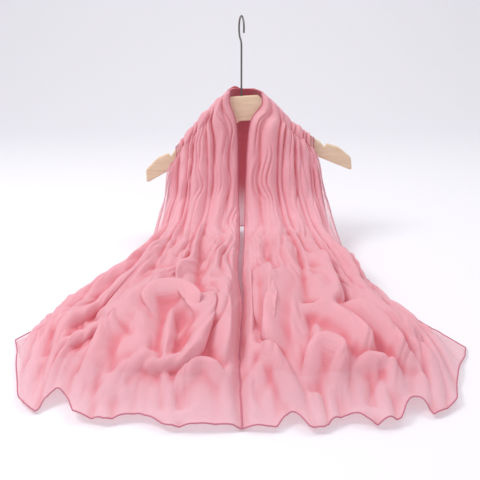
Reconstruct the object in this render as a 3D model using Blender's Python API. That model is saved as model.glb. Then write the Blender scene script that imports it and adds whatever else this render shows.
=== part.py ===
"""A sheer chiffon scarf hung over a flat wooden hanger, with both ends fanned out in front on a table.

The scarf is one long oblong. Its middle lies behind the hook and over the two arms, and each half falls
in front of the hanger and spreads over the table in long folds. Each stretch of it that shows is a solid
of its own. Metres, +Z up. The origin is the point inside the top of the hook that bears on a rail, +X is
to the right seen from the front, and the scarf falls towards -Y. "out" below is the distance in front of
the hanger, and "height" is measured from the table.
"""

import math

import bmesh
import bpy
import numpy as np

# ---- driving sizes ----
TABLE_DROP = 0.427  # from the hook's bearing point down to the table
WALL = 0.0016  # the cloth's wall
HEM_WALL = 0.0028  # the rolled hem, along every free edge
SEAM_GAP = 0.0006  # between two stretches of the same cloth
HEM_REACH = 0.02  # share of a stretch over which the wall thickens to its hem

WOOD_TOP = 0.285  # height of the hanger's flat top
WOOD_CENTRE_X = 0.005
WOOD_THICKNESS = 0.012
WOOD_EDGE = 0.0025  # rounding of its long edges
WOOD_ROLL = math.radians(3.6)  # the right arm hangs higher

WIRE_RADIUS = 0.0017
HOOK_RADIUS = 0.0215  # of the wire's centre line
HOOK_TURN = math.radians(78)  # the hook's plane stands nearly front to back
HOOK_START = math.radians(-60)  # where the stem's bend meets the hook's circle
HOOK_END = math.radians(200)  # its free end
STEM_BEND = 0.012  # length over which the stem bends into the circle
STEM_SINK = 0.022  # length of the stem inside the wood
STEM_CLEARANCE = 0.0004

PINK = (0.80, 0.33, 0.40)
BEECH = (0.74, 0.55, 0.36)
STEEL = (0.20, 0.20, 0.21)

# The hanger's outline, right half, from the middle of its top round to the middle of its underside.
OUTLINE_COLUMNS = ("x", "drop", "corner_radius")
OUTLINE = (
    (0.027, 0.000, 0.008),
    (0.060, 0.036, 0.040),
    (0.100, 0.070, 0.060),
    (0.143, 0.097, 0.006),
    (0.149, 0.107, 0.003),
    (0.155, 0.101, 0.004),
    (0.176, 0.108, 0.020),
    (0.201, 0.130, 0.012),
    (0.203, 0.157, 0.006),
    (0.190, 0.151, 0.015),
    (0.140, 0.127, 0.050),
    (0.011, 0.047, 0.006),
)

ARM_TOP_ROWS = 4  # the outline's first rows are the top edge, up to the notch

# Where the cloth's ribs cross the hanger, and how far the cloth stands off the wood there.
CREST_COLUMNS = ("x", "lift")
LEFT_CREST = (
    (-0.022, 0.012),
    (-0.052, 0.016),
    (-0.086, 0.020),
    (-0.117, 0.0040),
    (-0.127, 0.0030),
)
RIGHT_CREST = (
    (0.038, 0.011),
    (0.068, 0.013),
    (0.098, 0.008),
    (0.130, 0.0040),
    (0.140, 0.0030),
)
COLLAR_CREST = (0.008, 0.012)  # midway, behind the hook

# The cloth goes over an arm by these steps from its crest, the same at each rib.
OVER_COLUMNS = ("out", "drop")
OVER_ARM = ((0.0, 0.0), (0.0088, 0.0028), (0.0140, 0.0220))

# Ribs of each half, from the inner edge beside the gap to the outer edge. Each row is one station on the
# way down: in front of the arm, down the fall, its foot, and out over the table to the hem.
RIB_COLUMNS = ("x", "out", "height")
ACROSS_KNOTS = (0.0, 0.28, 0.55, 0.82, 1.0)
LEFT_RIBS = (
    (
        (-0.010, 0.020, 0.235),
        (-0.007, 0.030, 0.175),
        (-0.006, 0.048, 0.108),
        (-0.010, 0.092, 0.066),
        (-0.020, 0.180, 0.048),
        (-0.007, 0.290, 0.038),
        (0.0005, 0.400, 0.030),
        (-0.005, 0.520, 0.018),
        (-0.0015, 0.655, 0.002),
    ),
    (
        (-0.053, 0.026, 0.215),
        (-0.053, 0.038, 0.165),
        (-0.055, 0.062, 0.102),
        (-0.060, 0.115, 0.066),
        (-0.068, 0.198, 0.048),
        (-0.072, 0.300, 0.042),
        (-0.078, 0.420, 0.036),
        (-0.086, 0.540, 0.024),
        (-0.090, 0.655, 0.002),
    ),
    (
        (-0.090, 0.026, 0.182),
        (-0.092, 0.038, 0.142),
        (-0.096, 0.062, 0.094),
        (-0.104, 0.115, 0.060),
        (-0.122, 0.198, 0.045),
        (-0.142, 0.300, 0.040),
        (-0.165, 0.410, 0.032),
        (-0.182, 0.520, 0.020),
        (-0.185, 0.636, 0.002),
    ),
    (
        (-0.127, 0.022, 0.152),
        (-0.131, 0.034, 0.116),
        (-0.137, 0.058, 0.078),
        (-0.148, 0.108, 0.046),
        (-0.175, 0.190, 0.032),
        (-0.210, 0.290, 0.027),
        (-0.246, 0.385, 0.020),
        (-0.270, 0.470, 0.012),
        (-0.268, 0.590, 0.002),
    ),
    (
        (-0.140, 0.018, 0.136),
        (-0.148, 0.030, 0.098),
        (-0.156, 0.054, 0.060),
        (-0.168, 0.105, 0.024),
        (-0.188, 0.185, 0.008),
        (-0.232, 0.270, 0.005),
        (-0.266, 0.350, 0.004),
        (-0.290, 0.410, 0.003),
        (-0.316, 0.450, 0.002),
    ),
)
RIGHT_RIBS = (
    (
        (0.018, 0.020, 0.240),
        (0.011, 0.030, 0.180),
        (0.008, 0.048, 0.110),
        (0.010, 0.092, 0.066),
        (0.020, 0.180, 0.048),
        (0.002, 0.290, 0.038),
        (0.0045, 0.400, 0.030),
        (-0.002, 0.520, 0.018),
        (0.0015, 0.655, 0.002),
    ),
    (
        (0.064, 0.026, 0.222),
        (0.062, 0.038, 0.170),
        (0.062, 0.062, 0.104),
        (0.066, 0.115, 0.067),
        (0.076, 0.198, 0.049),
        (0.080, 0.300, 0.043),
        (0.084, 0.420, 0.036),
        (0.088, 0.540, 0.024),
        (0.092, 0.658, 0.002),
    ),
    (
        (0.101, 0.026, 0.195),
        (0.104, 0.038, 0.152),
        (0.110, 0.062, 0.098),
        (0.120, 0.115, 0.062),
        (0.136, 0.198, 0.047),
        (0.152, 0.300, 0.040),
        (0.166, 0.410, 0.032),
        (0.178, 0.520, 0.020),
        (0.182, 0.642, 0.002),
    ),
    (
        (0.137, 0.022, 0.172),
        (0.141, 0.034, 0.128),
        (0.148, 0.058, 0.084),
        (0.157, 0.108, 0.048),
        (0.168, 0.190, 0.033),
        (0.180, 0.285, 0.027),
        (0.207, 0.375, 0.020),
        (0.244, 0.470, 0.012),
        (0.258, 0.592, 0.002),
    ),
    (
        (0.150, 0.018, 0.158),
        (0.161, 0.030, 0.110),
        (0.174, 0.054, 0.066),
        (0.185, 0.105, 0.026),
        (0.191, 0.180, 0.008),
        (0.202, 0.268, 0.005),
        (0.232, 0.345, 0.004),
        (0.272, 0.412, 0.003),
        (0.305, 0.472, 0.002),
    ),
)
FOOT = 6.0  # the station where a fall ends and its spread begins
LAST = 11.0  # the hem
VEIL_ACROSS = 0.87  # outside this the cloth hangs in one sheer layer, the veil

# Long pleats. Each is a rounded ridge that runs down a fall and on over its spread to the hem. Places are
# shares of the way across, and bow moves the middle of its run over the table sideways.
PLEAT_COLUMNS = ("at_crest", "at_foot", "at_hem", "bow", "half_width", "hung_depth", "laid_rise")
LEFT_PLEATS = (
    (0.06, 0.06, 0.07, 0.01, 0.075, 0.007, 0.012),
    (0.21, 0.23, 0.20, -0.03, 0.095, 0.011, 0.018),
    (0.36, 0.41, 0.36, 0.04, 0.085, 0.013, 0.022),
    (0.51, 0.57, 0.52, -0.03, 0.085, 0.010, 0.019),
    (0.66, 0.71, 0.70, 0.05, 0.080, 0.009, 0.021),
    (0.81, 0.84, 0.87, 0.02, 0.070, 0.006, 0.014),
)
RIGHT_PLEATS = (
    (0.08, 0.07, 0.08, -0.01, 0.085, 0.009, 0.013),
    (0.24, 0.25, 0.25, 0.03, 0.085, 0.010, 0.020),
    (0.37, 0.43, 0.41, -0.03, 0.075, 0.012, 0.020),
    (0.50, 0.59, 0.57, 0.03, 0.085, 0.010, 0.022),
    (0.65, 0.73, 0.72, -0.03, 0.075, 0.009, 0.019),
    (0.80, 0.86, 0.87, 0.01, 0.065, 0.006, 0.014),
)
HUNG_START = 2.0  # stations over which the pleats deepen below the arm
LAID_START = 5.5  # where a pleat's depth begins to pass from hung to laid
LAID_RUN = 2.0
HEM_CALM = 0.4  # share of its rise that a pleat loses at the hem

# The largest folds heaped across the pleats. Each is a rounded ridge over a bowed line seen from above.
FOLD_COLUMNS = (
    "start_x",
    "start_out",
    "through_x",
    "through_out",
    "end_x",
    "end_out",
    "half_width",
    "rise",
)
LEFT_FOLDS = (
    (-0.150, 0.500, -0.105, 0.420, -0.062, 0.500, 0.028, 0.031),
    (-0.090, 0.545, -0.134, 0.565, -0.170, 0.630, 0.032, 0.028),
    (-0.032, 0.290, -0.038, 0.440, -0.028, 0.560, 0.026, 0.026),
    (-0.088, 0.615, -0.050, 0.570, -0.014, 0.615, 0.026, 0.020),
)
RIGHT_FOLDS = (
    (0.110, 0.410, 0.169, 0.480, 0.218, 0.590, 0.030, 0.028),
    (0.050, 0.380, 0.110, 0.470, 0.160, 0.560, 0.028, 0.028),
    (0.058, 0.625, 0.105, 0.555, 0.108, 0.640, 0.027, 0.026),
    (0.125, 0.590, 0.172, 0.565, 0.180, 0.640, 0.030, 0.026),
)

# Notches where the hem draws in between two lobes, in stations.
NOTCH_COLUMNS = ("across", "half_width", "depth")
LEFT_NOTCHES = ((0.64, 0.07, 0.32), (0.38, 0.05, 0.26), (0.92, 0.05, 0.16))
RIGHT_NOTCHES = ((0.17, 0.04, 0.16), (0.35, 0.04, 0.20), (0.60, 0.05, 0.22), (0.90, 0.05, 0.14))
NOTCH_START = 9.0  # the station where a notch begins to draw the cloth in

# The stretch behind the hook: ribs from the left arm's end across the neck to the right arm's end. Each
# goes over the arm and down to the lower edge by these steps, of out and height.
BACK_CREST = (*reversed(LEFT_CREST), COLLAR_CREST, *RIGHT_CREST)
BACK_ROWS = (
    (-0.020, 0.140),
    (-0.026, 0.070),
    (-0.030, 0.012),
)
BACK_FLARE = 0.10  # widening of its lower edge, as a share of x
COLLAR_BACK = 0.007  # how far the collar bows back to pass behind the hook
BACK_PLEATS = (
    (0.11, 0.08, 0.08, 0.0, 0.075, 0.006, 0.0),
    (0.27, 0.25, 0.25, 0.0, 0.090, 0.009, 0.0),
    (0.42, 0.41, 0.41, 0.0, 0.080, 0.007, 0.0),
    (0.58, 0.59, 0.59, 0.0, 0.080, 0.008, 0.0),
    (0.73, 0.75, 0.75, 0.0, 0.090, 0.009, 0.0),
    (0.89, 0.92, 0.92, 0.0, 0.075, 0.006, 0.0),
)

# The layers hidden under a spread, as one rounded solid.
HEAP_CLEARANCE = 0.0015  # below the middle of the cloth above, half a wall and a gap
HEAP_ACROSS = (0.08, 0.90)
HEAP_ALONG = (6.15, 10.2)
HEAP_RIM = 0.10  # share of its width over which it rounds down to the table

EDGE_CALM = 0.05  # share of the width over which folds die out at a long edge
TINY = 1e-4  # step for finding a surface's direction


def ease(value):
    value = np.clip(value, 0.0, 1.0)
    return value * value * (3.0 - 2.0 * value)


def smooth_through(knots, stack, at):
    """Points on smooth curves through stack[0], stack[1], ... at the knots, one curve for each entry of at."""
    knots = np.asarray(knots, float)
    slopes = np.gradient(stack, knots, axis=0)
    lower = np.clip(np.searchsorted(knots, at, side="right") - 1, 0, len(knots) - 2)
    span = (knots[lower + 1] - knots[lower])[:, None]
    t = (at - knots[lower])[:, None] / span
    which = np.arange(len(at))
    start, end = stack[lower, which], stack[lower + 1, which]
    leave, arrive = slopes[lower, which] * span, slopes[lower + 1, which] * span
    return (
        start * (2 * t**3 - 3 * t**2 + 1)
        + leave * (t**3 - 2 * t**2 + t)
        + end * (3 * t**2 - 2 * t**3)
        + arrive * (t**3 - t**2)
    )


def rolled(x, z):
    """A point of the hanger's outline, turned by its roll and set in place, as x and height."""
    turned_x = x * math.cos(WOOD_ROLL) - z * math.sin(WOOD_ROLL)
    turned_z = x * math.sin(WOOD_ROLL) + z * math.cos(WOOD_ROLL)
    return turned_x + WOOD_CENTRE_X, turned_z + WOOD_TOP


def wood_top(x):
    """Height of the hanger's top edge at x."""
    right = [rolled(row[0], -row[1]) for row in OUTLINE[:ARM_TOP_ROWS]]
    left = [rolled(-row[0], -row[1]) for row in OUTLINE[:ARM_TOP_ROWS]]
    top = np.array(left[::-1] + right)
    return np.interp(x, top[:, 0], top[:, 1])


def over_rows(crest, facing):
    """A rib's rows over the hanger, forwards for a fall and backwards for the stretch behind."""
    x, lift = crest
    return [(x, facing * out, wood_top(x) + lift - drop) for out, drop in OVER_ARM]


def half_ribs(crests, ribs):
    return np.array([over_rows(crest, 1) + list(rows) for crest, rows in zip(crests, ribs)])


def back_ribs():
    ribs = []
    for crest in BACK_CREST:
        rows = over_rows(crest, -1)
        for step, (out, height) in enumerate(BACK_ROWS, start=1):
            rows.append((crest[0] * (1 + BACK_FLARE * step), out, height))
        ribs.append(rows)
    ribs = np.array(ribs)
    ribs[len(LEFT_CREST), :, 1] -= COLLAR_BACK
    return ribs


def back_knots():
    """Shares of the way across at which the back's ribs stand."""
    places = np.array(BACK_CREST)[:, 0]
    return (places - places[0]) / (places[-1] - places[0])


def ribbed(knots, ribs, across, along):
    """The surface through the ribs, at each pair of across and along."""
    stations = np.arange(ribs.shape[1])
    count = len(across)
    lines = [
        smooth_through(stations, np.repeat(rib[:, None], count, axis=1), along) for rib in ribs
    ]
    return smooth_through(knots, np.array(lines), across)


def ridge(offset):
    """A rounded ridge: 1 on its line, 0 at one half width and beyond."""
    return np.clip(1.0 - offset**2, 0.0, 1.0) ** 1.3


def joined(heights):
    """Ridges side by side make one surface with a soft valley between them."""
    return np.sum(np.array(heights) ** 4, axis=0) ** 0.25


def pleat_heights(pleats, across, along):
    """Heights of the pleats, hung on the fall and laid on the table."""
    laid = ease((along - LAID_START) / LAID_RUN)
    hung = ease(along / HUNG_START) * (1 - laid)
    laid = laid * (1 - HEM_CALM * ease((along - NOTCH_START) / (LAST - NOTCH_START)))
    fall = np.minimum(along / FOOT, 1.0)
    run = np.clip((along - FOOT) / (LAST - FOOT), 0.0, 1.0)
    heights = []
    for at_crest, at_foot, at_hem, bow, half_width, hung_depth, laid_rise in pleats:
        line = at_crest + (at_foot - at_crest) * fall + (at_hem - at_foot) * run
        line = line + bow * np.sin(math.pi * run)
        heights.append((hung_depth * hung + laid_rise * laid) * ridge((across - line) / half_width))
    return heights


def fold_heights(folds, points):
    """Heights of the folds over each point, by its distance from their bowed lines seen from above."""
    heights = []
    steps = np.linspace(0.0, 1.0, 25)[:, None]
    for row in folds:
        start, through, end = np.array(row[:6]).reshape(3, 2)
        half_width, rise = row[6:]
        control = 2 * through - (start + end) / 2
        line = (1 - steps) ** 2 * start + 2 * steps * (1 - steps) * control + steps**2 * end
        first, step = line[:-1], np.diff(line, axis=0)
        gap = points[:, None] - first
        share = np.clip(np.sum(gap * step, axis=2) / np.sum(step**2, axis=1), 0.0, 1.0)
        far = np.linalg.norm(gap - share[..., None] * step, axis=2)
        nearest = np.argmin(far, axis=1)
        which = np.arange(len(points))
        along = (nearest + share[which, nearest]) / len(step)
        swell = ease(along / 0.3) * ease((1 - along) / 0.25)
        heights.append(rise * swell * ridge(far[which, nearest] / half_width))
    return heights


class Cloth:
    """A stretch of cloth: a surface through ribs with ridges raised on it."""

    def __init__(self, knots, ribs, pleats, folds, notches, facing):
        self.knots, self.ribs = knots, ribs
        self.pleats, self.folds, self.notches = pleats, folds, notches
        self.last = ribs.shape[1] - 1.0
        self.facing = facing

    def base(self, across, along):
        """The smooth surface under the pleats and folds, with the hem drawn in at its notches."""
        drawn = ease((along - NOTCH_START) / (LAST - NOTCH_START))
        for place, half_width, depth in self.notches:
            along = along - depth * drawn * ridge((across - place) / half_width)
        return ribbed(self.knots, self.ribs, across, along)

    def direction(self, surface, across, along):
        """The unit normal of a surface, on the side that is seen."""
        side = surface(across + TINY, along) - surface(across - TINY, along)
        down = surface(across, along + TINY) - surface(across, along - TINY)
        normal = np.cross(side, down) * self.facing
        return normal / np.linalg.norm(normal, axis=1)[:, None]

    def surface(self, across, along):
        base = self.base(across, along)
        heights = pleat_heights(self.pleats, across, along)
        if self.folds:
            laid = ease((along - LAID_START) / LAID_RUN)
            heights += [laid * height for height in fold_heights(self.folds, base[:, :2])]
        calm = ease(across / EDGE_CALM) * ease((1 - across) / EDGE_CALM)
        height = calm * joined(heights)
        return base + self.direction(self.base, across, along) * height[:, None]


def placed(points):
    """From x, out and height to the part's own frame."""
    return np.column_stack([points[:, 0], -points[:, 1], points[:, 2] - TABLE_DROP])


def new_object(name, mesh, material):
    obj = bpy.data.objects.new(name, mesh)
    bpy.context.scene.collection.objects.link(obj)
    mesh.materials.append(material)
    return obj


def cloth_material(name):
    return principled(name, PINK, roughness=0.75, metallic=0.0)


def principled(name, colour, roughness, metallic):
    material = bpy.data.materials.new(name)
    material.use_nodes = True
    shader = material.node_tree.nodes["Principled BSDF"]
    shader.inputs["Base Color"].default_value = (*colour, 1.0)
    shader.inputs["Roughness"].default_value = roughness
    shader.inputs["Metallic"].default_value = metallic
    return material


def wall_solid(name, upper, lower, rows, columns, material):
    """A closed wall between two grids of points, each listed row by row."""
    mesh = bmesh.new()
    skins = []
    for points in (upper, lower):
        vertices = [mesh.verts.new(point) for point in placed(points)]
        skins.append(np.array(vertices, dtype=object).reshape(rows, columns))
    top, bottom = skins
    for i in range(rows - 1):
        for j in range(columns - 1):
            mesh.faces.new((top[i, j], top[i + 1, j], top[i + 1, j + 1], top[i, j + 1]))
            mesh.faces.new((bottom[i, j], bottom[i, j + 1], bottom[i + 1, j + 1], bottom[i + 1, j]))
    rims = (
        (top[0, :], bottom[0, :]),
        (top[:, -1], bottom[:, -1]),
        (top[-1, ::-1], bottom[-1, ::-1]),
        (top[::-1, 0], bottom[::-1, 0]),
    )
    for outer, inner in rims:
        for k in range(len(outer) - 1):
            mesh.faces.new((outer[k], outer[k + 1], inner[k + 1], inner[k]))
    bmesh.ops.triangulate(mesh, faces=mesh.faces[:])
    bmesh.ops.recalc_face_normals(mesh, faces=mesh.faces[:])
    data = bpy.data.meshes.new(name)
    mesh.to_mesh(data)
    mesh.free()
    data.shade_smooth()
    return new_object(name, data, material)


def wall_half(across, along, cloth, free):
    """Half the wall's thickness, with the hem along the edges named in free."""
    distance = np.full(len(across), 1.0)
    if "inner" in free:
        distance = np.minimum(distance, across)
    if "outer" in free:
        distance = np.minimum(distance, 1 - across)
    if "end" in free:
        distance = np.minimum(distance, (cloth.last - along) / cloth.last)
    return (HEM_WALL + (WALL - HEM_WALL) * ease(distance / HEM_REACH)) / 2


def cloth_wall(name, cloth, across_range, along_range, cells, free):
    """One stretch of the cloth as a wall, with a row of narrow cells along each hem."""
    across = np.linspace(*across_range, cells[0] + 1)
    along = np.linspace(*along_range, cells[1] + 1)
    if "inner" in free:
        across = np.insert(across, 1, across[0] + HEM_REACH)
    if "outer" in free:
        across = np.insert(across, -1, across[-1] - HEM_REACH)
    if "end" in free:
        along = np.insert(along, -1, along[-1] - HEM_REACH * cloth.last)
    grid_along, grid_across = (grid.ravel() for grid in np.meshgrid(along, across, indexing="ij"))
    middle = cloth.surface(grid_across, grid_along)
    normal = cloth.direction(cloth.surface, grid_across, grid_along)
    half = wall_half(grid_across, grid_along, cloth, free)[:, None]
    upper, lower = middle + normal * half, middle - normal * half
    lower[:, 2] = np.maximum(lower[:, 2], 0.0)
    upper[:, 2] = np.maximum(upper[:, 2], 2 * half[:, 0])
    return wall_solid(name, upper, lower, len(along), len(across), cloth_material(name))


def heap(name, cloth):
    """The hidden layers under a spread: flat on the table, rounded over, just below the cloth above."""
    across = np.linspace(*HEAP_ACROSS, 14)
    along = np.linspace(*HEAP_ALONG, 12)
    grid_along, grid_across = (grid.ravel() for grid in np.meshgrid(along, across, indexing="ij"))
    upper = cloth.base(grid_across, grid_along)
    inward = 1.0
    for value, (low, high) in ((grid_across, HEAP_ACROSS), (grid_along, HEAP_ALONG)):
        share = (value - low) / (high - low)
        inward = inward * ease(np.minimum(share, 1 - share) / HEAP_RIM) ** 0.5
    lower = upper.copy()
    lower[:, 2] = 0.0
    upper[:, 2] = WALL + (upper[:, 2] - HEAP_CLEARANCE - WALL) * inward
    return wall_solid(name, upper, lower, len(along), len(across), cloth_material(name))


def rounded_outline(rows):
    """The outline's points, with each corner turned into an arc of its radius."""
    mirrored = [(-x, drop, radius) for x, drop, radius in reversed(rows)]
    corners = list(rows) + mirrored
    points = []
    for k, (x, drop, radius) in enumerate(corners):
        corner = np.array((x, -drop))
        before = np.array((corners[k - 1][0], -corners[k - 1][1])) - corner
        following = corners[(k + 1) % len(corners)]
        after = np.array((following[0], -following[1])) - corner
        before_length, after_length = np.linalg.norm(before), np.linalg.norm(after)
        before, after = before / before_length, after / after_length
        half = math.acos(np.clip(before @ after, -1, 1)) / 2
        setback = min(radius / math.tan(half), 0.45 * before_length, 0.45 * after_length)
        start, end = corner + before * setback, corner + after * setback
        for t in np.linspace(0, 1, 5):
            points.append((1 - t) ** 2 * start + 2 * t * (1 - t) * corner + t * t * end)
    return points


def hanger_wood():
    mesh = bmesh.new()
    ring = []
    for x, z in rounded_outline(OUTLINE):
        place_x, height = rolled(x, z)
        ring.append(mesh.verts.new((place_x, WOOD_THICKNESS / 2, height - TABLE_DROP)))
    face = mesh.faces.new(ring)
    front = bmesh.ops.extrude_face_region(mesh, geom=[face])["geom"]
    moved = [item for item in front if isinstance(item, bmesh.types.BMVert)]
    bmesh.ops.translate(mesh, verts=moved, vec=(0, -WOOD_THICKNESS, 0))
    bmesh.ops.recalc_face_normals(mesh, faces=mesh.faces[:])
    data = bpy.data.meshes.new("hanger_wood")
    mesh.to_mesh(data)
    mesh.free()
    wood = new_object("hanger_wood", data, principled("beech", BEECH, 0.5, 0.0))
    bevel = wood.modifiers.new("soft_edges", "BEVEL")
    bevel.width = WOOD_EDGE
    bevel.segments = 2
    bevel.limit_method = "ANGLE"
    bevel.angle_limit = math.radians(60)
    cut = wood.modifiers.new("stem_hole", "BOOLEAN")
    cut.operation = "DIFFERENCE"
    cut.object = stem_cutter()
    data.shade_smooth()
    data.set_sharp_from_angle(angle=math.radians(35))


def stem_bottom():
    return WOOD_TOP - TABLE_DROP - STEM_SINK


def stem_cutter():
    mesh = bmesh.new()
    depth = 2 * (STEM_SINK + STEM_CLEARANCE)
    radius = WIRE_RADIUS + STEM_CLEARANCE
    bmesh.ops.create_cone(
        mesh, cap_ends=True, segments=16, radius1=radius, radius2=radius, depth=depth
    )
    bmesh.ops.translate(mesh, verts=mesh.verts[:], vec=(0, 0, WOOD_TOP - TABLE_DROP))
    data = bpy.data.meshes.new("stem_cutter")
    mesh.to_mesh(data)
    mesh.free()
    cutter = bpy.data.objects.new("stem_cutter", data)
    bpy.context.scene.collection.objects.link(cutter)
    cutter.hide_render = True
    cutter.display_type = "WIRE"
    return cutter


def hook_points():
    """The wire's centre line: up the stem, round a bend, then round the hook to its free end."""
    centre = np.array((0.0, 0.0, WIRE_RADIUS - HOOK_RADIUS))
    across = np.array((math.cos(HOOK_TURN), -math.sin(HOOK_TURN), 0.0))
    up = np.array((0.0, 0.0, 1.0))
    corner = centre - HOOK_RADIUS * up
    stem_top = corner - STEM_BEND * up
    points = [np.array((0.0, 0.0, z)) for z in np.linspace(stem_bottom(), stem_top[2], 5)]
    angles = np.linspace(HOOK_START, HOOK_END, 28)
    ring = [
        centre + HOOK_RADIUS * (math.sin(angle) * up - math.cos(angle) * across) for angle in angles
    ]
    for t in (0.25, 0.5, 0.75):
        points.append((1 - t) ** 2 * stem_top + 2 * t * (1 - t) * corner + t * t * ring[0])
    return points + ring


def hanger_hook():
    points = hook_points()
    curve = bpy.data.curves.new("hanger_hook", "CURVE")
    curve.dimensions = "3D"
    curve.bevel_depth = WIRE_RADIUS
    curve.bevel_resolution = 3
    curve.use_fill_caps = True
    spline = curve.splines.new("POLY")
    spline.points.add(len(points) - 1)
    for place, point in zip(spline.points, points):
        place.co = (*point, 1.0)
    hook = bpy.data.objects.new("hanger_hook", curve)
    bpy.context.scene.collection.objects.link(hook)
    curve.materials.append(principled("hook_steel", STEEL, 0.3, 1.0))


def clear_scene():
    for obj in list(bpy.data.objects):
        bpy.data.objects.remove(obj)


def build():
    clear_scene()
    hanger_wood()
    hanger_hook()
    halves = (
        ("left", LEFT_CREST, LEFT_RIBS, (LEFT_PLEATS, LEFT_FOLDS, LEFT_NOTCHES, -1)),
        ("right", RIGHT_CREST, RIGHT_RIBS, (RIGHT_PLEATS, RIGHT_FOLDS, RIGHT_NOTCHES, 1)),
    )
    across_gap, along_gap = 0.012, 0.006
    for side, crests, ribs, drape in halves:
        cloth = Cloth(ACROSS_KNOTS, half_ribs(crests, ribs), *drape)
        fall_across = (0.0, VEIL_ACROSS - across_gap)
        veil_across = (VEIL_ACROSS + across_gap, 1.0)
        hung = (0.07, FOOT - along_gap)
        laid = (FOOT + along_gap, LAST)
        cloth_wall(f"{side}_fall", cloth, fall_across, hung, (24, 11), ("inner",))
        cloth_wall(f"{side}_veil", cloth, veil_across, hung, (4, 11), ("outer",))
        cloth_wall(f"{side}_spread", cloth, (0.0, 1.0), laid, (26, 21), ("inner", "outer", "end"))
        heap(f"{side}_under_layers", cloth)
    back = Cloth(back_knots(), back_ribs(), BACK_PLEATS, (), (), -1)
    cloth_wall("back_stretch", back, (0.0, 1.0), (0.07, back.last), (28, 8), ("inner", "outer", "end"))


build()
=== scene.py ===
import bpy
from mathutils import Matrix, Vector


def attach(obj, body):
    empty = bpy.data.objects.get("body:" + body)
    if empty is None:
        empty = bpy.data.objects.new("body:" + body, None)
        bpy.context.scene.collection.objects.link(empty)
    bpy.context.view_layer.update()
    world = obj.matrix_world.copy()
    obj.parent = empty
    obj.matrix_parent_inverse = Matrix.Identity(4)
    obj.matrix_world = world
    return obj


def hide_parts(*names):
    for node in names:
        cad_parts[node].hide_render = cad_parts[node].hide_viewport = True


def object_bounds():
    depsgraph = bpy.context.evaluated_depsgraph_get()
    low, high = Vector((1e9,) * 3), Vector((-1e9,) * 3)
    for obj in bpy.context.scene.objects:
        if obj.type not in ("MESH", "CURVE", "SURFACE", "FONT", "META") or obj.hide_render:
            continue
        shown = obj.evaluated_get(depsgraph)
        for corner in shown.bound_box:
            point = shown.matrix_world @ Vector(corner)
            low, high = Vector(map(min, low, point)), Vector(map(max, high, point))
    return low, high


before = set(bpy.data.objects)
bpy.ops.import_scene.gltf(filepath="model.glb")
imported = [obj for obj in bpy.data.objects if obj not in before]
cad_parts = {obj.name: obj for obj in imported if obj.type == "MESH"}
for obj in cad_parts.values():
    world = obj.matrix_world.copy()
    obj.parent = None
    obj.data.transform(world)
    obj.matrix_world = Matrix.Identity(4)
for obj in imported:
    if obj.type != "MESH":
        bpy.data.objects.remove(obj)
CAD_BOX = [list(corner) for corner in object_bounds()]

import math
from collections import namedtuple

import bmesh
import bpy
import numpy as np
from mathutils import Vector

# ---- sizes in metres; "out" is the distance in front of the hanger, "height" is from the table ----
TABLE_Z = CAD_BOX[0][2]
EDGE_CALM = 0.04
FOOT = 6.0
LAST = 11.0
HUNG_START = 2.0
LAID_START = 5.5
LAID_RUN = 2.0
HEM_CALM = 0.55
NOTCH_START = 9.0
HALF_CUT = (0.45, 0.75)
BACK_CUT = (0.36, 0.28)
HEM_RADIUS = 0.0009
HEM_LIFT = 0.0009
TINY = 1e-4
FOLD_ROUNDNESS = 0.85
FOLD_POINTS = 25
FOLD_RISE_SHARE = 0.3
FOLD_FALL_SHARE = 0.22
HALF_CELLS = (230, 360)
BACK_CELLS = (180, 90)
HIDDEN_CELLS = (90, 110)
# The blur and depth that turn hollows in the sheet into painted crease shade.
PAINTED_SHADE_BLUR = 7
PAINTED_SHADE_DEPTH = 0.0052

# Where the cloth's ribs cross the hanger, as x and height.
LEFT_CREST = ((-0.022, 0.2955), (-0.052, 0.2682), (-0.086, 0.2347), (-0.117, 0.1986), (-0.127, 0.1881))
RIGHT_CREST = ((0.038, 0.2922), (0.068, 0.2659), (0.098, 0.2350), (0.130, 0.2126), (0.140, 0.2056))
COLLAR_CREST = (0.008, 0.2972)
OVER_ARM = ((0.0, 0.0), (0.0088, 0.0028), (0.0140, 0.0220))

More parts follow.
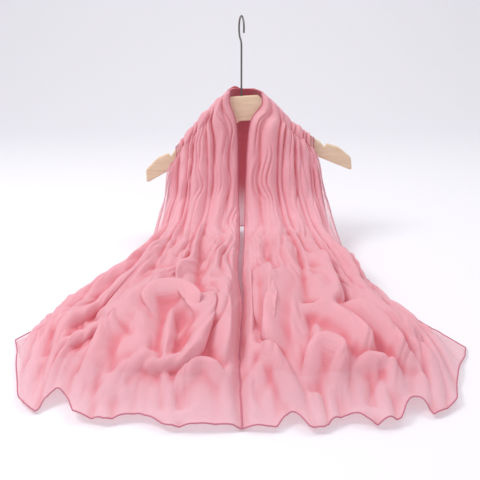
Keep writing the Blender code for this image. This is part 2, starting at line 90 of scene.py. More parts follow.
ACROSS_KNOTS = (0.0, 0.28, 0.55, 0.82, 1.0)
LEFT_RIBS = (
    (
        (-0.010, 0.020, 0.235),
        (-0.007, 0.030, 0.175),
        (-0.006, 0.048, 0.108),
        (-0.004, 0.092, 0.066),
        (-0.004, 0.180, 0.048),
        (-0.007, 0.290, 0.038),
        (0.0005, 0.400, 0.030),
        (-0.003, 0.520, 0.018),
        (0.0005, 0.655, 0.002),
    ),
    (
        (-0.053, 0.026, 0.215),
        (-0.053, 0.038, 0.165),
        (-0.055, 0.062, 0.102),
        (-0.060, 0.115, 0.066),
        (-0.068, 0.198, 0.048),
        (-0.072, 0.300, 0.042),
        (-0.078, 0.420, 0.036),
        (-0.086, 0.540, 0.024),
        (-0.090, 0.655, 0.002),
    ),
    (
        (-0.090, 0.026, 0.182),
        (-0.092, 0.038, 0.142),
        (-0.096, 0.062, 0.094),
        (-0.104, 0.115, 0.060),
        (-0.122, 0.198, 0.045),
        (-0.142, 0.300, 0.040),
        (-0.165, 0.410, 0.032),
        (-0.182, 0.520, 0.020),
        (-0.185, 0.636, 0.002),
    ),
    (
        (-0.127, 0.022, 0.152),
        (-0.131, 0.034, 0.116),
        (-0.137, 0.058, 0.078),
        (-0.148, 0.108, 0.046),
        (-0.175, 0.190, 0.032),
        (-0.210, 0.290, 0.027),
        (-0.246, 0.385, 0.020),
        (-0.270, 0.470, 0.012),
        (-0.268, 0.590, 0.002),
    ),
    (
        (-0.140, 0.018, 0.136),
        (-0.148, 0.030, 0.098),
        (-0.156, 0.054, 0.060),
        (-0.168, 0.105, 0.024),
        (-0.188, 0.185, 0.008),
        (-0.232, 0.270, 0.005),
        (-0.266, 0.350, 0.004),
        (-0.290, 0.410, 0.003),
        (-0.316, 0.450, 0.002),
    ),
)
RIGHT_RIBS = (
    (
        (0.018, 0.020, 0.240),
        (0.011, 0.030, 0.180),
        (0.008, 0.048, 0.110),
        (0.006, 0.092, 0.066),
        (0.005, 0.180, 0.048),
        (0.002, 0.290, 0.038),
        (0.0025, 0.400, 0.030),
        (-0.004, 0.520, 0.018),
        (-0.0005, 0.655, 0.002),
    ),
    (
        (0.064, 0.026, 0.222),
        (0.062, 0.038, 0.170),
        (0.062, 0.062, 0.104),
        (0.066, 0.115, 0.067),
        (0.076, 0.198, 0.049),
        (0.080, 0.300, 0.043),
        (0.084, 0.420, 0.036),
        (0.088, 0.540, 0.024),
        (0.092, 0.658, 0.002),
    ),
    (
        (0.101, 0.026, 0.195),
        (0.104, 0.038, 0.152),
        (0.110, 0.062, 0.098),
        (0.120, 0.115, 0.062),
        (0.136, 0.198, 0.047),
        (0.152, 0.300, 0.040),
        (0.166, 0.410, 0.032),
        (0.178, 0.520, 0.020),
        (0.182, 0.642, 0.002),
    ),
    (
        (0.137, 0.022, 0.172),
        (0.141, 0.034, 0.128),
        (0.148, 0.058, 0.084),
        (0.157, 0.108, 0.048),
        (0.168, 0.190, 0.033),
        (0.180, 0.285, 0.027),
        (0.207, 0.375, 0.020),
        (0.244, 0.470, 0.012),
        (0.258, 0.592, 0.002),
    ),
    (
        (0.150, 0.018, 0.158),
        (0.161, 0.030, 0.110),
        (0.174, 0.054, 0.066),
        (0.185, 0.105, 0.026),
        (0.191, 0.180, 0.008),
        (0.202, 0.268, 0.005),
        (0.232, 0.345, 0.004),
        (0.272, 0.412, 0.003),
        (0.305, 0.472, 0.002),
    ),
)
BACK_ROWS = ((-0.020, 0.140), (-0.026, 0.070), (-0.030, 0.012))
BACK_FLARE = 0.10
COLLAR_BACK = 0.007

Pleat = namedtuple("Pleat", "at_crest at_foot at_hem bow half_width hung_depth laid_rise")
LEFT_PLEATS = (
    (0.06, 0.05, 0.07, 0.01, 0.090, 0.009, 0.012),
    (0.21, 0.20, 0.16, -0.03, 0.095, 0.015, 0.016),
    (0.32, 0.32, 0.27, 0.03, 0.040, 0.010, 0.018),
    (0.44, 0.45, 0.37, 0.04, 0.125, 0.018, 0.020),
    (0.56, 0.57, 0.48, -0.02, 0.040, 0.010, 0.015),
    (0.66, 0.66, 0.58, -0.03, 0.085, 0.014, 0.018),
    (0.77, 0.76, 0.68, 0.04, 0.035, 0.010, 0.017),
    (0.83, 0.84, 0.79, 0.03, 0.050, 0.008, 0.014),
    (0.92, 0.92, 0.90, 0.02, 0.050, 0.008, 0.010),
)
RIGHT_PLEATS = (
    (0.08, 0.07, 0.07, -0.01, 0.100, 0.011, 0.012),
    (0.245, 0.23, 0.18, 0.03, 0.105, 0.015, 0.017),
    (0.35, 0.36, 0.30, 0.02, 0.035, 0.010, 0.018),
    (0.44, 0.46, 0.40, -0.03, 0.095, 0.015, 0.019),
    (0.55, 0.58, 0.50, 0.02, 0.040, 0.010, 0.017),
    (0.635, 0.67, 0.60, 0.04, 0.090, 0.014, 0.019),
    (0.73, 0.76, 0.70, -0.03, 0.035, 0.010, 0.016),
    (0.80, 0.84, 0.79, 0.02, 0.055, 0.009, 0.013),
    (0.91, 0.92, 0.89, 0.01, 0.045, 0.008, 0.010),
)
BACK_PLEATS = (
    (0.11, 0.08, 0.08, 0.0, 0.075, 0.006, 0.0),
    (0.27, 0.25, 0.25, 0.0, 0.090, 0.009, 0.0),
    (0.42, 0.41, 0.41, 0.0, 0.080, 0.007, 0.0),
    (0.58, 0.59, 0.59, 0.0, 0.080, 0.008, 0.0),
    (0.73, 0.75, 0.75, 0.0, 0.090, 0.009, 0.0),
    (0.89, 0.92, 0.92, 0.0, 0.075, 0.006, 0.0),
)

Fold = namedtuple(
    "Fold", "start_x start_out through_x through_out end_x end_out half_width rise lean"
)
LEFT_FOLDS = (
    (-0.130, 0.200, -0.190, 0.370, -0.262, 0.480, 0.016, 0.016, 0.5),
    (-0.110, 0.260, -0.168, 0.430, -0.255, 0.540, 0.019, 0.024, 0.6),
    (-0.100, 0.330, -0.158, 0.480, -0.195, 0.630, 0.019, 0.027, -0.5),
    (-0.117, 0.510, -0.103, 0.415, -0.062, 0.500, 0.017, 0.032, 0.8),
    (-0.062, 0.490, -0.080, 0.560, -0.135, 0.555, 0.016, 0.026, 0.8),
    (-0.085, 0.545, -0.134, 0.570, -0.165, 0.640, 0.018, 0.024, 0.5),
    (-0.085, 0.230, -0.080, 0.370, -0.055, 0.500, 0.016, 0.022, -0.6),
    (-0.026, 0.260, -0.036, 0.440, -0.020, 0.590, 0.016, 0.026, 0.5),
    (-0.052, 0.330, -0.058, 0.480, -0.078, 0.600, 0.015, 0.024, 0.6),
    (-0.082, 0.630, -0.049, 0.565, -0.016, 0.620, 0.014, 0.022, 0.7),
    (-0.172, 0.600, -0.150, 0.590, -0.125, 0.640, 0.012, 0.018, 0.6),
    (-0.205, 0.490, -0.222, 0.560, -0.205, 0.620, 0.014, 0.018, -0.5),
    (-0.040, 0.600, -0.060, 0.640, -0.110, 0.630, 0.012, 0.014, 0.6),
    (-0.010, 0.540, -0.020, 0.600, -0.006, 0.660, 0.012, 0.018, 0.3),
)
RIGHT_FOLDS = (
    (0.008, 0.240, 0.004, 0.400, 0.012, 0.520, 0.013, 0.022, 0.3),
    (0.028, 0.240, 0.040, 0.400, 0.026, 0.530, 0.014, 0.024, 0.5),
    (0.080, 0.250, 0.054, 0.430, 0.044, 0.560, 0.017, 0.026, -0.6),
    (0.106, 0.200, 0.126, 0.340, 0.122, 0.450, 0.018, 0.022, 0.5),
    (0.080, 0.420, 0.118, 0.480, 0.165, 0.560, 0.018, 0.028, 0.7),
    (0.115, 0.420, 0.172, 0.490, 0.215, 0.590, 0.017, 0.028, 0.7),
    (0.214, 0.550, 0.206, 0.610, 0.172, 0.655, 0.015, 0.022, 0.5),
    (0.150, 0.320, 0.190, 0.450, 0.250, 0.500, 0.017, 0.020, 0.5),
    (0.205, 0.470, 0.232, 0.550, 0.212, 0.640, 0.014, 0.018, 0.5),
    (0.125, 0.585, 0.175, 0.560, 0.180, 0.640, 0.018, 0.024, 0.4),
    (0.012, 0.500, 0.045, 0.570, 0.064, 0.650, 0.016, 0.026, 0.6),
    (0.064, 0.640, 0.108, 0.540, 0.106, 0.650, 0.016, 0.030, 0.8),
    (0.080, 0.600, 0.084, 0.630, 0.086, 0.668, 0.011, 0.018, 0.5),
    (0.118, 0.655, 0.140, 0.635, 0.168, 0.655, 0.012, 0.014, 0.5),
    (0.016, 0.560, 0.004, 0.610, 0.026, 0.655, 0.014, 0.018, 0.5),
)
LEFT_NOTCHES = ((0.64, 0.075, 0.26), (0.36, 0.10, 0.12), (0.90, 0.10, 0.12))
RIGHT_NOTCHES = ((0.17, 0.055, 0.16), (0.36, 0.09, 0.14), (0.60, 0.07, 0.20), (0.88, 0.09, 0.14))


def ease(value):
    value = np.clip(value, 0.0, 1.0)
    return value * value * (3.0 - 2.0 * value)


def smooth_through(knots, stack, at):
    """Points on smooth curves through stack[0], stack[1], ... at the knots, one for each entry of at."""
    knots = np.asarray(knots, float)
    slopes = np.gradient(stack, knots, axis=0)
    lower = np.clip(np.searchsorted(knots, at, side="right") - 1, 0, len(knots) - 2)
    span = (knots[lower + 1] - knots[lower])[:, None]
    t = (at - knots[lower])[:, None] / span
    which = np.arange(len(at))
    start, end = stack[lower, which], stack[lower + 1, which]
    leave, arrive = slopes[lower, which] * span, slopes[lower + 1, which] * span
    return (
        start * (2 * t**3 - 3 * t**2 + 1)
        + leave * (t**3 - 2 * t**2 + t)
        + end * (3 * t**2 - 2 * t**3)
        + arrive * (t**3 - t**2)
    )


def ridge(offset, roundness=1.3):
    return np.clip(1.0 - offset**2, 0.0, 1.0) ** roundness


def blurred(field, radius):
    """The field averaged over a square of this many cells each way."""
    for axis in (0, 1):
        edges = [(0, 0)] * field.ndim
        edges[axis] = (radius + 1, radius)
        total = np.cumsum(np.pad(field, edges, mode="edge"), axis=axis)
        count = total.shape[axis]
        ahead = np.take(total, range(2 * radius + 1, count), axis)
        behind = np.take(total, range(count - 2 * radius - 1), axis)
        field = (ahead - behind) / (2 * radius + 1)
    return field


def crumple(first, second, seed):
    """Smooth random values from -1 to 1 over a plane, one lump for each unit."""
    rng = np.random.default_rng(seed)
    lattice = rng.uniform(-1.0, 1.0, (64, 64))
    i, j = np.floor(first).astype(int), np.floor(second).astype(int)
    s, t = ease(first - i), ease(second - j)

    def corner(a, b):
        return lattice[(i + a) % 64, (j + b) % 64]

    near = corner(0, 0) * (1 - s) + corner(1, 0) * s
    far = corner(0, 1) * (1 - s) + corner(1, 1) * s
    return near * (1 - t) + far * t


def over_rows(crest, facing):
    x, height = crest
    return [(x, facing * out, height - drop) for out, drop in OVER_ARM]


def half_ribs(crests, ribs):
    return np.array([over_rows(crest, 1) + list(rows) for crest, rows in zip(crests, ribs)])


BACK_CREST = (*reversed(LEFT_CREST), COLLAR_CREST, *RIGHT_CREST)


def back_ribs():
    ribs = []
    for crest in BACK_CREST:
        rows = over_rows(crest, -1)
        for step, (out, height) in enumerate(BACK_ROWS, start=1):
            rows.append((crest[0] * (1 + BACK_FLARE * step), out, height))
        ribs.append(rows)
    ribs = np.array(ribs)
    ribs[len(LEFT_CREST), :, 1] -= COLLAR_BACK
    return ribs


def pleat_parts(pleats, across, along):
    laid = ease((along - LAID_START) / LAID_RUN)
    hung = ease(along / HUNG_START) * (1 - laid)
    laid = laid * (1 - HEM_CALM * ease((along - NOTCH_START) / (LAST - NOTCH_START)))
    fall = np.minimum(along / FOOT, 1.0)
    run = np.clip((along - FOOT) / (LAST - FOOT), 0.0, 1.0)
    for pleat in map(Pleat._make, pleats):
        line = pleat.at_crest + (pleat.at_foot - pleat.at_crest) * fall
        line = line + (pleat.at_hem - pleat.at_foot) * run + pleat.bow * np.sin(math.pi * run)
        depth = pleat.hung_depth * hung + pleat.laid_rise * laid
        yield depth * ridge((across - line) / pleat.half_width)


def fold_parts(folds, points):
    """Each fold's height over the points, and the way it leans, by distance from its bowed line."""
    steps = np.linspace(0.0, 1.0, FOLD_POINTS)[:, None]
    for fold in map(Fold._make, folds):
        start, through, end = np.array(fold[:6]).reshape(3, 2)
        control = 2 * through - (start + end) / 2
        line = (1 - steps) ** 2 * start + 2 * steps * (1 - steps) * control + steps**2 * end
        first, step = line[:-1], np.diff(line, axis=0)
        gap = points[:, None] - first
        share = np.clip(np.sum(gap * step, axis=2) / np.sum(step**2, axis=1), 0.0, 1.0)
        far = np.linalg.norm(gap - share[..., None] * step, axis=2)
        nearest = np.argmin(far, axis=1)
        which = np.arange(len(points))
        along = (nearest + share[which, nearest]) / len(step)
        height = fold.rise * ease(along / FOLD_RISE_SHARE) * ease((1 - along) / FOLD_FALL_SHARE)
        height = height * ridge(far[which, nearest] / fold.half_width, FOLD_ROUNDNESS)
        way = step[nearest]
        sideways = np.column_stack([way[:, 1], -way[:, 0]])
        sideways = sideways / np.linalg.norm(sideways, axis=1)[:, None]
        yield height, sideways * fold.lean


class Drape:
    """A stretch of cloth: a smooth surface through ribs, with pleats, folds and crumples raised on it."""

    def __init__(self, knots, ribs, pleats, folds, notches, facing, seed):
        self.knots, self.ribs = knots, ribs
        self.pleats, self.folds, self.notches = pleats, folds, notches
        self.last = ribs.shape[1] - 1.0
        self.facing, self.seed = facing, seed

    def base(self, across, along):
        drawn = ease((along - NOTCH_START) / (LAST - NOTCH_START))
        for place, half_width, depth in self.notches:
            along = along - depth * drawn * ridge((across - place) / half_width)
        stations = np.arange(self.ribs.shape[1])
        count = len(across)
        lines = [
            smooth_through(stations, np.repeat(rib[:, None], count, axis=1), along)
            for rib in self.ribs
        ]
        return smooth_through(self.knots, np.array(lines), across)

    def normal(self, across, along):
        side = self.base(across + TINY, along) - self.base(across - TINY, along)
        down = self.base(across, along + TINY) - self.base(across, along - TINY)
        normal = np.cross(side, down) * self.facing
        return normal / np.linalg.norm(normal, axis=1)[:, None]

    def surface(self, across, along):
        base = self.base(across, along)
        wander = 0.022 * crumple(across * 4.0, along * 0.9, self.seed + 3)
        heights = []
        for count, height in enumerate(pleat_parts(self.pleats, across + wander, along)):
            uneven = crumple(np.full(len(along), count * 3.7), along * 0.9, self.seed + 4)
            heights.append(height * (0.85 + 0.45 * uneven))
        leans = [np.zeros((len(across), 2))] * len(heights)
        if self.folds:
            laid = ease((along - LAID_START) / LAID_RUN)
            for height, lean in fold_parts(self.folds, base[:, :2]):
                heights.append(height * laid * (1 - 0.5 * ease((along - 9.8) / 1.2)))
                leans.append(lean)
        calm = ease(across / EDGE_CALM) * ease((1 - across) / EDGE_CALM)
        heights = np.array(heights)
        powers = heights**6
        total = np.sum(powers, axis=0) ** (1 / 6)
        share = powers / np.maximum(np.sum(powers, axis=0), 1e-24)
        tilt = np.einsum("kn,knd->nd", share * total, np.array(leans)) * calm[:, None]
        tilt = tilt * (1 - 0.9 * ease((along - 9.4) / 1.4))[:, None]
        soft = ease(along / 3.0)
        total = calm * total + soft * self.crumples(across, along)
        points = base + self.normal(across, along) * total[:, None]
        points[:, :2] += tilt
        return points

    def crumples(self, across, along):
        """Small uneven billows with creases between them, long on the fall and shorter over the table."""
        laid = ease((along - LAID_START) / LAID_RUN)
        bend = crumple(across * 5.0, along * 1.3, self.seed + 5)
        hung = np.abs(crumple(across * 22.0 + bend, along * 0.6 + across, self.seed)) * 0.0062
        wide = np.abs(crumple(across * 15.0 + 1.2 * bend, along * 0.95, self.seed + 1)) * 0.0095
        small = np.abs(crumple(across * 34.0 + 2.2 * bend, along * 2.7, self.seed + 2)) * 0.0040
        edge = 0.30 + 0.70 * ease(np.minimum(across, 1 - across) / 0.08)
        rim = 1 - 0.6 * ease((along - 10.0) / 1.0)
        return ((1 - laid) * hung + laid * (wide + small) * rim) * edge + 0.001 * laid


# ---- shader helpers ----


class Shade:
    """A node socket whose arithmetic adds Math nodes."""

    def __init__(self, nodes, socket):
        self.nodes, self.socket = nodes, socket

    def _math(self, kind, first, second):
        return self.nodes.add("ShaderNodeMath", {"operation": kind}, {0: first, 1: second})

    def __add__(self, other):
        return self._math("ADD", self, other)

    def __sub__(self, other):
        return self._math("SUBTRACT", self, other)

    def __mul__(self, other):
        return self._math("MULTIPLY", self, other)

    def __radd__(self, other):
        return self._math("ADD", other, self)

    def __rsub__(self, other):
        return self._math("SUBTRACT", other, self)

    def __rmul__(self, other):
        return self._math("MULTIPLY", other, self)


class Nodes:
    """The nodes of one material."""

    def __init__(self, name):
        self.material = bpy.data.materials.new(name)
        self.material.use_nodes = True
        self.tree = self.material.node_tree
        self.tree.nodes.clear()

    def add(self, kind, settings=None, values=None, output=0):
        node = self.tree.nodes.new(kind)
        for key, value in (settings or {}).items():
            if key == "stops":
                self.set_stops(node.color_ramp, value)
            else:
                setattr(node, key, value)
        for key, value in (values or {}).items():
            if isinstance(value, Shade):
                self.tree.links.new(value.socket, node.inputs[key])
            else:
                node.inputs[key].default_value = value
        return Shade(self, node.outputs[output]) if len(node.outputs) else None

    @staticmethod
    def set_stops(ramp, stops):
        while len(ramp.elements) < len(stops):
            ramp.elements.new(1.0)
        for element, (place, colour) in zip(ramp.elements, stops):
            element.position = place
            element.color = (*colour, 1.0)

    def mixed(self, share, first, second):
        settings = {"data_type": "RGBA"}
        return self.add("ShaderNodeMix", settings, {0: share, 6: first, 7: second}, output=2)


def chiffon(name, light, middle, deep, through, opacity):
    """Sheer crepe: two pinks by thickness of layers, painted shade in the creases in a third, deeper
    pink, a fine crinkle, and light that comes through.
    """
    nodes = Nodes(name)
    where = nodes.add("ShaderNodeTexCoord", output=3)
    cloth = nodes.add("ShaderNodeUVMap", {"uv_map": "cloth"})
    layers = nodes.add("ShaderNodeAttribute", {"attribute_name": "layers"}, output=2)
    # Painted shade: this value darkens the hollows of the sheet.
    crease = nodes.add("ShaderNodeAttribute", {"attribute_name": "crease"}, output=2)
    crinkle = nodes.add(
        "ShaderNodeTexNoise", {}, {"Vector": where, "Scale": 150.0, "Detail": 4.0, "Roughness": 0.65}
    )
    patch = nodes.add("ShaderNodeTexNoise", {}, {"Vector": where, "Scale": 22.0, "Detail": 2.0})
    grain = nodes.add(
        "ShaderNodeTexNoise", {}, {"Vector": cloth, "Scale": 900.0, "Detail": 1.0}
    )
    pink = nodes.mixed(layers * 0.45 + patch * 0.25, (*light, 1.0), (*middle, 1.0))
    # Painted shade: the deep colour is mixed in where the crease value is high.
    tone = nodes.mixed(crease, pink, (*deep, 1.0))
    height = crinkle * 0.6 + grain * 0.4
    bump = nodes.add(
        "ShaderNodeBump", {}, {"Strength": 0.55, "Distance": 0.0016, "Height": height}
    )
    front = nodes.add(
        "ShaderNodeBsdfPrincipled",
        {},
        {
            "Base Color": tone,
            "Roughness": 0.82,
            "Sheen Weight": 0.25,
            "Sheen Roughness": 0.5,
            "Specular IOR Level": 0.2,
            "Normal": bump,
        },
    )
    behind = nodes.add("ShaderNodeBsdfTranslucent", {}, {"Color": tone, "Normal": bump})
    body = nodes.add("ShaderNodeMixShader", {}, {0: through, 1: front, 2: behind})
    clear = nodes.add("ShaderNodeBsdfTransparent")
    cover = opacity[0] + layers * (opacity[1] - opacity[0])
    whole = nodes.add("ShaderNodeMixShader", {}, {0: cover, 1: clear, 2: body})
    nodes.add("ShaderNodeOutputMaterial", {}, {0: whole})
    return nodes.material


def plain_pink(name, colour):
    nodes = Nodes(name)
    where = nodes.add("ShaderNodeTexCoord", output=3)
    twist = nodes.add("ShaderNodeTexNoise", {}, {"Vector": where, "Scale": 700.0, "Detail": 2.0})
    bump = nodes.add("ShaderNodeBump", {}, {"Strength": 0.5, "Distance": 0.0004, "Height": twist})
    tone = nodes.mixed(twist, (*colour, 1.0), tuple(0.8 * c for c in colour) + (1.0,))
    values = {"Base Color": tone, "Roughness": 0.75, "Normal": bump}
    nodes.add(
        "ShaderNodeOutputMaterial", {}, {0: nodes.add("ShaderNodeBsdfPrincipled", {}, values)}
    )
    return nodes.material


def beech(name):
    nodes = Nodes(name)
    where = nodes.add("ShaderNodeTexCoord", output=3)
    drawn = nodes.add("ShaderNodeMapping", {}, {"Vector": where, "Scale": (6.0, 60.0, 60.0)})
    grain = nodes.add("ShaderNodeTexNoise", {}, {"Vector": drawn, "Scale": 3.0, "Detail": 6.0})
    flecks = nodes.add("ShaderNodeTexNoise", {}, {"Vector": drawn, "Scale": 14.0, "Detail": 2.0})
    stops = ((0.35, (0.72, 0.53, 0.35)), (0.62, (0.83, 0.67, 0.49)))
    tone = nodes.add("ShaderNodeValToRGB", {"stops": stops}, {0: grain * 0.7 + flecks * 0.3})
    bump = nodes.add("ShaderNodeBump", {}, {"Strength": 0.15, "Distance": 0.0005, "Height": grain})
    values = {"Base Color": tone, "Roughness": 0.42, "Normal": bump, "Coat Weight": 0.15}
    nodes.add(
        "ShaderNodeOutputMaterial", {}, {0: nodes.add("ShaderNodeBsdfPrincipled", {}, values)}
    )
    return nodes.material


def drawn_steel(name):
    nodes = Nodes(name)
    where = nodes.add("ShaderNodeTexCoord", output=3)
    wear = nodes.add("ShaderNodeTexNoise", {}, {"Vector": where, "Scale": 300.0, "Detail": 3.0})
    values = {
        "Base Color": (0.16, 0.155, 0.15, 1.0),
        "Metallic": 1.0,
        "Roughness": 0.25 + wear * 0.2,
    }
    nodes.add(
        "ShaderNodeOutputMaterial", {}, {0: nodes.add("ShaderNodeBsdfPrincipled", {}, values)}
    )
    return nodes.material


# ---- pieces ----


def placed(points):
    return np.column_stack([points[:, 0], -points[:, 1], points[:, 2] + TABLE_Z])


def cloth_sheet(name, drape, cells, material, layers, flat_size, painted_shade=None):
    """A fine sheet over the drape, with its own cloth map and a share of layers at each point."""
    mesh = bmesh.new()
    bmesh.ops.create_grid(mesh, x_segments=cells[0], y_segments=cells[1], size=0.5)
    flat = np.array([vertex.co[:2] for vertex in mesh.verts]) + 0.5
    across, along = np.clip(flat[:, 0], 0, 1), np.clip(flat[:, 1], 0, 1) * drape.last
    points = drape.surface(across, along)
    points[:, 2] = np.maximum(points[:, 2], HEM_LIFT)
    grid = points.reshape(cells[1] + 1, cells[0] + 1, 3)
    # Painted shade: how far each point sits below the blurred sheet, to darken the creases in colour.
    hollow = (blurred(grid, PAINTED_SHADE_BLUR).reshape(-1, 3) - points) * drape.normal(across, along)
    crease = np.clip(hollow.sum(axis=1) / PAINTED_SHADE_DEPTH, 0.0, 1.0)
    # Painted shade added on top of the crease shade, where a sheet is given one.
    if painted_shade:
        crease = np.maximum(crease, painted_shade(across, along))
    for vertex, point in zip(mesh.verts, placed(points)):
        vertex.co = point
    mesh.normal_update()
    data = bpy.data.meshes.new(name)
    mesh.to_mesh(data)
    mesh.free()
    uv = data.uv_layers.new(name="cloth")
    corners = np.empty(len(data.loops), np.int32)
    data.loops.foreach_get("vertex_index", corners)
    uv.data.foreach_set("uv", (flat[corners] * flat_size).ravel())
    share = data.attributes.new("layers", "FLOAT", "POINT")
    share.data.foreach_set("value", np.clip(layers(across, along), 0, 1))
    # The painted crease shade, stored for the material.
    creases = data.attributes.new("crease", "FLOAT", "POINT")
    creases.data.foreach_set("value", crease)
    if drape.facing > 0:
        data.flip_normals()
    data.shade_smooth()
    data.materials.append(material)
    piece = bpy.data.objects.new(name, data)
    bpy.context.scene.collection.objects.link(piece)
    return piece


def rolled_hem(name, drape, route, material):
    """The rolled edge, a fine cord along the route of across and along places."""
    across, along = (np.array(values, float) for values in zip(*route))
    points = drape.surface(across, along)
    points[:, 2] = np.maximum(points[:, 2], HEM_LIFT)
    curve = bpy.data.curves.new(name, "CURVE")
    curve.dimensions = "3D"
    curve.bevel_depth = HEM_RADIUS
    curve.bevel_resolution = 2
    curve.use_fill_caps = True
    spline = curve.splines.new("POLY")
    spline.points.add(len(points) - 1)
    spline.points.foreach_set("co", np.column_stack([placed(points), np.ones(len(points))]).ravel())
    curve.materials.append(material)
    piece = bpy.data.objects.new(name, curve)
    bpy.context.scene.collection.objects.link(piece)
    return piece


def edge_route(last):
    """Round a stretch's free edges: down one long edge, along the hem and up the other."""
    start = 0.07
    down = [(0.0, start + (last - start) * t) for t in np.linspace(0, 1, 300)]
    hem = [(t, last) for t in np.linspace(0, 1, 500)]
    up = [(1.0, last - (last - start) * t) for t in np.linspace(0, 1, 300)]
    return down + hem[1:] + up[1:]


def hidden_layers(name, drape, material):
    """The layers hidden under a spread, a low rumpled heap just below the cloth above."""
    low, high = (0.09, 6.2), (0.88, 10.0)

    def surface(across, along):
        share_across = (across - low[0]) / (high[0] - low[0])
        share_along = (along - low[1]) / (high[1] - low[1])
        inward = ease(np.minimum(share_across, 1 - share_across) / 0.12) ** 0.6
        inward = inward * ease(np.minimum(share_along, 1 - share_along) / 0.12) ** 0.6
        points = drape.base(across, along)
        rumple = 0.004 * crumple(across * 18, along * 3, drape.seed + 7)
        points[:, 2] = 0.001 + np.maximum(points[:, 2] - 0.005 + rumple, 0.0) * inward
        return points

    mesh = bmesh.new()
    bmesh.ops.create_grid(mesh, x_segments=HIDDEN_CELLS[0], y_segments=HIDDEN_CELLS[1], size=0.5)
    flat = np.array([vertex.co[:2] for vertex in mesh.verts]) + 0.5
    across = low[0] + flat[:, 0] * (high[0] - low[0])
    along = low[1] + flat[:, 1] * (high[1] - low[1])
    for vertex, point in zip(mesh.verts, placed(surface(across, along))):
        vertex.co = point
    mesh.normal_update()
    data = bpy.data.meshes.new(name)
    mesh.to_mesh(data)
    mesh.free()
    if drape.facing > 0:
        data.flip_normals()
    data.shade_smooth()
    data.materials.append(material)
    piece = bpy.data.objects.new(name, data)
    bpy.context.scene.collection.objects.link(piece)
    return piece


def half_layers(across, along):
    """Sheer at the outer veil and near the hem, close layers where the cloth is gathered."""
    fall = 1 - ease((along - 5.0) / 3.0)
    veil = ease((across - 0.80) / 0.07)
    near_hem = ease((along - 9.8) / 1.2)
    side = ease((across - 0.80) / 0.2) * (1 - fall)
    gathered = 0.92 - 0.60 * near_hem
    return gathered * (1 - 0.9 * veil * fall) * (1 - 0.75 * side)


def back_layers(across, along):
    return 0.95 - 0.45 * ease((along - 3.2) / 1.4)


def painted_collar_shade(across, along):
    """Painted shade: the deep colour down the middle, where the layers meet behind the open front."""
    return 0.9 * ridge(np.clip((across - 0.50) / 0.17, -1, 1)) * (1 - ease((along - 3.4) / 1.4))


def build_cloth():
    # The third colour of each set is painted shade for the creases.
    shades = ((0.95, 0.56, 0.62), (0.93, 0.46, 0.52), (0.86, 0.27, 0.32))
    pink = chiffon("chiffon", *shades, 0.28, (0.46, 0.99))
    # A darker copy of the chiffon for the back cloth: painted shade behind the hanger.
    shades = ((0.94, 0.52, 0.58), (0.91, 0.42, 0.48), (0.58, 0.05, 0.09))
    painted_shade_chiffon = chiffon("chiffon_collar_painted_shade", *shades, 0.10, (0.50, 1.0))
    deep = plain_pink("hidden_cloth", (0.78, 0.20, 0.26))
    hem = plain_pink("hem_thread", (0.62, 0.20, 0.27))
    halves = (
        ("left", LEFT_CREST, LEFT_RIBS, (LEFT_PLEATS, LEFT_FOLDS, LEFT_NOTCHES, -1, 11)),
        ("right", RIGHT_CREST, RIGHT_RIBS, (RIGHT_PLEATS, RIGHT_FOLDS, RIGHT_NOTCHES, 1, 23)),
    )
    for side, crests, ribs, drape_rows in halves:
        drape = Drape(ACROSS_KNOTS, half_ribs(crests, ribs), *drape_rows)
        cloth = cloth_sheet(f"{side}_cloth", drape, HALF_CELLS, pink, half_layers, HALF_CUT)
        edge = rolled_hem(f"{side}_hem", drape, edge_route(drape.last), hem)
        under = hidden_layers(f"{side}_hidden_cloth", drape, deep)
        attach(cloth, "root")
        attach(edge, "root")
        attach(under, "root")
        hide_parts(f"{side}_fall", f"{side}_veil", f"{side}_spread")
        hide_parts(f"{side}_under_layers")
    knots = np.array(BACK_CREST)[:, 0]
    knots = (knots - knots[0]) / (knots[-1] - knots[0])
    drape = Drape(knots, back_ribs(), BACK_PLEATS, (), (), -1, 41)
    # The back cloth gets painted shade down its middle as well as in its creases.
    cloth = cloth_sheet("back_cloth", drape, BACK_CELLS, painted_shade_chiffon, back_layers, BACK_CUT, painted_collar_shade)
    edge = rolled_hem("back_hem", drape, edge_route(drape.last), hem)
    for piece in (cloth, edge):
        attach(piece, "root")
    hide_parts("back_stretch")


def finish_hanger():
    for node, material in (("hanger_wood", beech("beech")), ("hanger_hook", drawn_steel("hook_steel"))):
        data = bpy.data.objects[node].data
        data.materials.clear()
        data.materials.append(material)


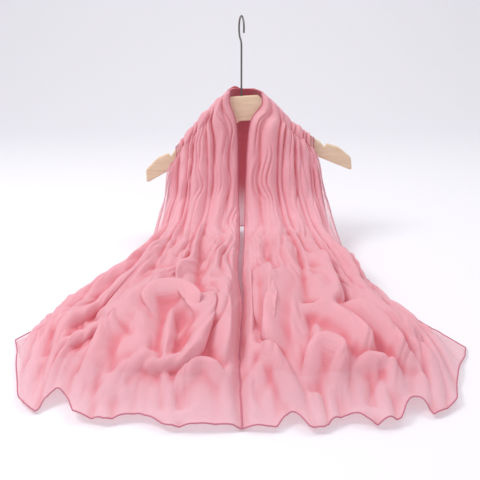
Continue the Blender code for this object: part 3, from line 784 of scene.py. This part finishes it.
def studio():
    """A pale floor that sweeps up into a backdrop, and soft lights."""
    mesh = bmesh.new()
    front = [mesh.verts.new((x, -3.0, TABLE_Z)) for x in (-4.0, 4.0)]
    rail = mesh.edges.new(front)
    route = [(1.2, 0.0)] + [
        (1.2 + math.sin(a), 1.0 - math.cos(a)) for a in np.linspace(0.1, math.pi / 2, 12)
    ]
    route.append((2.2, 4.0))
    last, place = rail, Vector((0, -3.0, TABLE_Z))
    for y, z in route:
        target = Vector((0, y, TABLE_Z + z))
        grown = bmesh.ops.extrude_edge_only(mesh, edges=[last])["geom"]
        moved = [item for item in grown if isinstance(item, bmesh.types.BMVert)]
        bmesh.ops.translate(mesh, verts=moved, vec=target - place)
        last = next(item for item in grown if isinstance(item, bmesh.types.BMEdge))
        place = target
    bmesh.ops.recalc_face_normals(mesh, faces=mesh.faces[:])
    data = bpy.data.meshes.new("studio_floor")
    mesh.to_mesh(data)
    mesh.free()
    data.shade_smooth()
    nodes = Nodes("studio_paper")
    values = {"Base Color": (0.88, 0.87, 0.90, 1.0), "Roughness": 0.9}
    nodes.add(
        "ShaderNodeOutputMaterial", {}, {0: nodes.add("ShaderNodeBsdfPrincipled", {}, values)}
    )
    data.materials.append(nodes.material)
    floor = bpy.data.objects.new("studio_floor", data)
    bpy.context.scene.collection.objects.link(floor)

    world = bpy.data.worlds.new("soft_room")
    bpy.context.scene.world = world
    world.use_nodes = True
    background = world.node_tree.nodes["Background"]
    background.inputs["Color"].default_value = (0.97, 0.96, 1.0, 1.0)
    background.inputs["Strength"].default_value = 0.70
    lamps = (
        ("soft_key", (-1.2, -0.6, 1.3), 0.9, 20.0),
        ("soft_top", (0.7, 0.3, 1.7), 1.4, 12.0),
    )
    for name, place, size, power in lamps:
        lamp = bpy.data.lights.new(name, "AREA")
        lamp.size = size
        lamp.energy = power
        obj = bpy.data.objects.new(name, lamp)
        obj.location = place
        aim = Vector((0.0, -0.3, TABLE_Z)) - Vector(place)
        obj.rotation_euler = aim.to_track_quat("-Z", "Y").to_euler()
        bpy.context.scene.collection.objects.link(obj)


CAMERA_HEIGHT = 0.437
CAMERA_BACK = 1.27
CAMERA_X = -0.0027
CAMERA_PITCH = math.radians(19.2)
CAMERA_LENS = 49.3


def set_camera():
    camera = bpy.data.cameras.new("camera")
    camera.lens = CAMERA_LENS
    camera.sensor_width = 36.0
    obj = bpy.data.objects.new("camera", camera)
    obj.location = (CAMERA_X, -CAMERA_BACK, TABLE_Z + CAMERA_HEIGHT)
    obj.rotation_euler = (math.pi / 2 - CAMERA_PITCH, 0.0, 0.0)
    bpy.context.scene.collection.objects.link(obj)
    bpy.context.scene.camera = obj


bpy.context.scene.view_settings.view_transform = "Standard"
build_cloth()
finish_hanger()
studio()
set_camera()
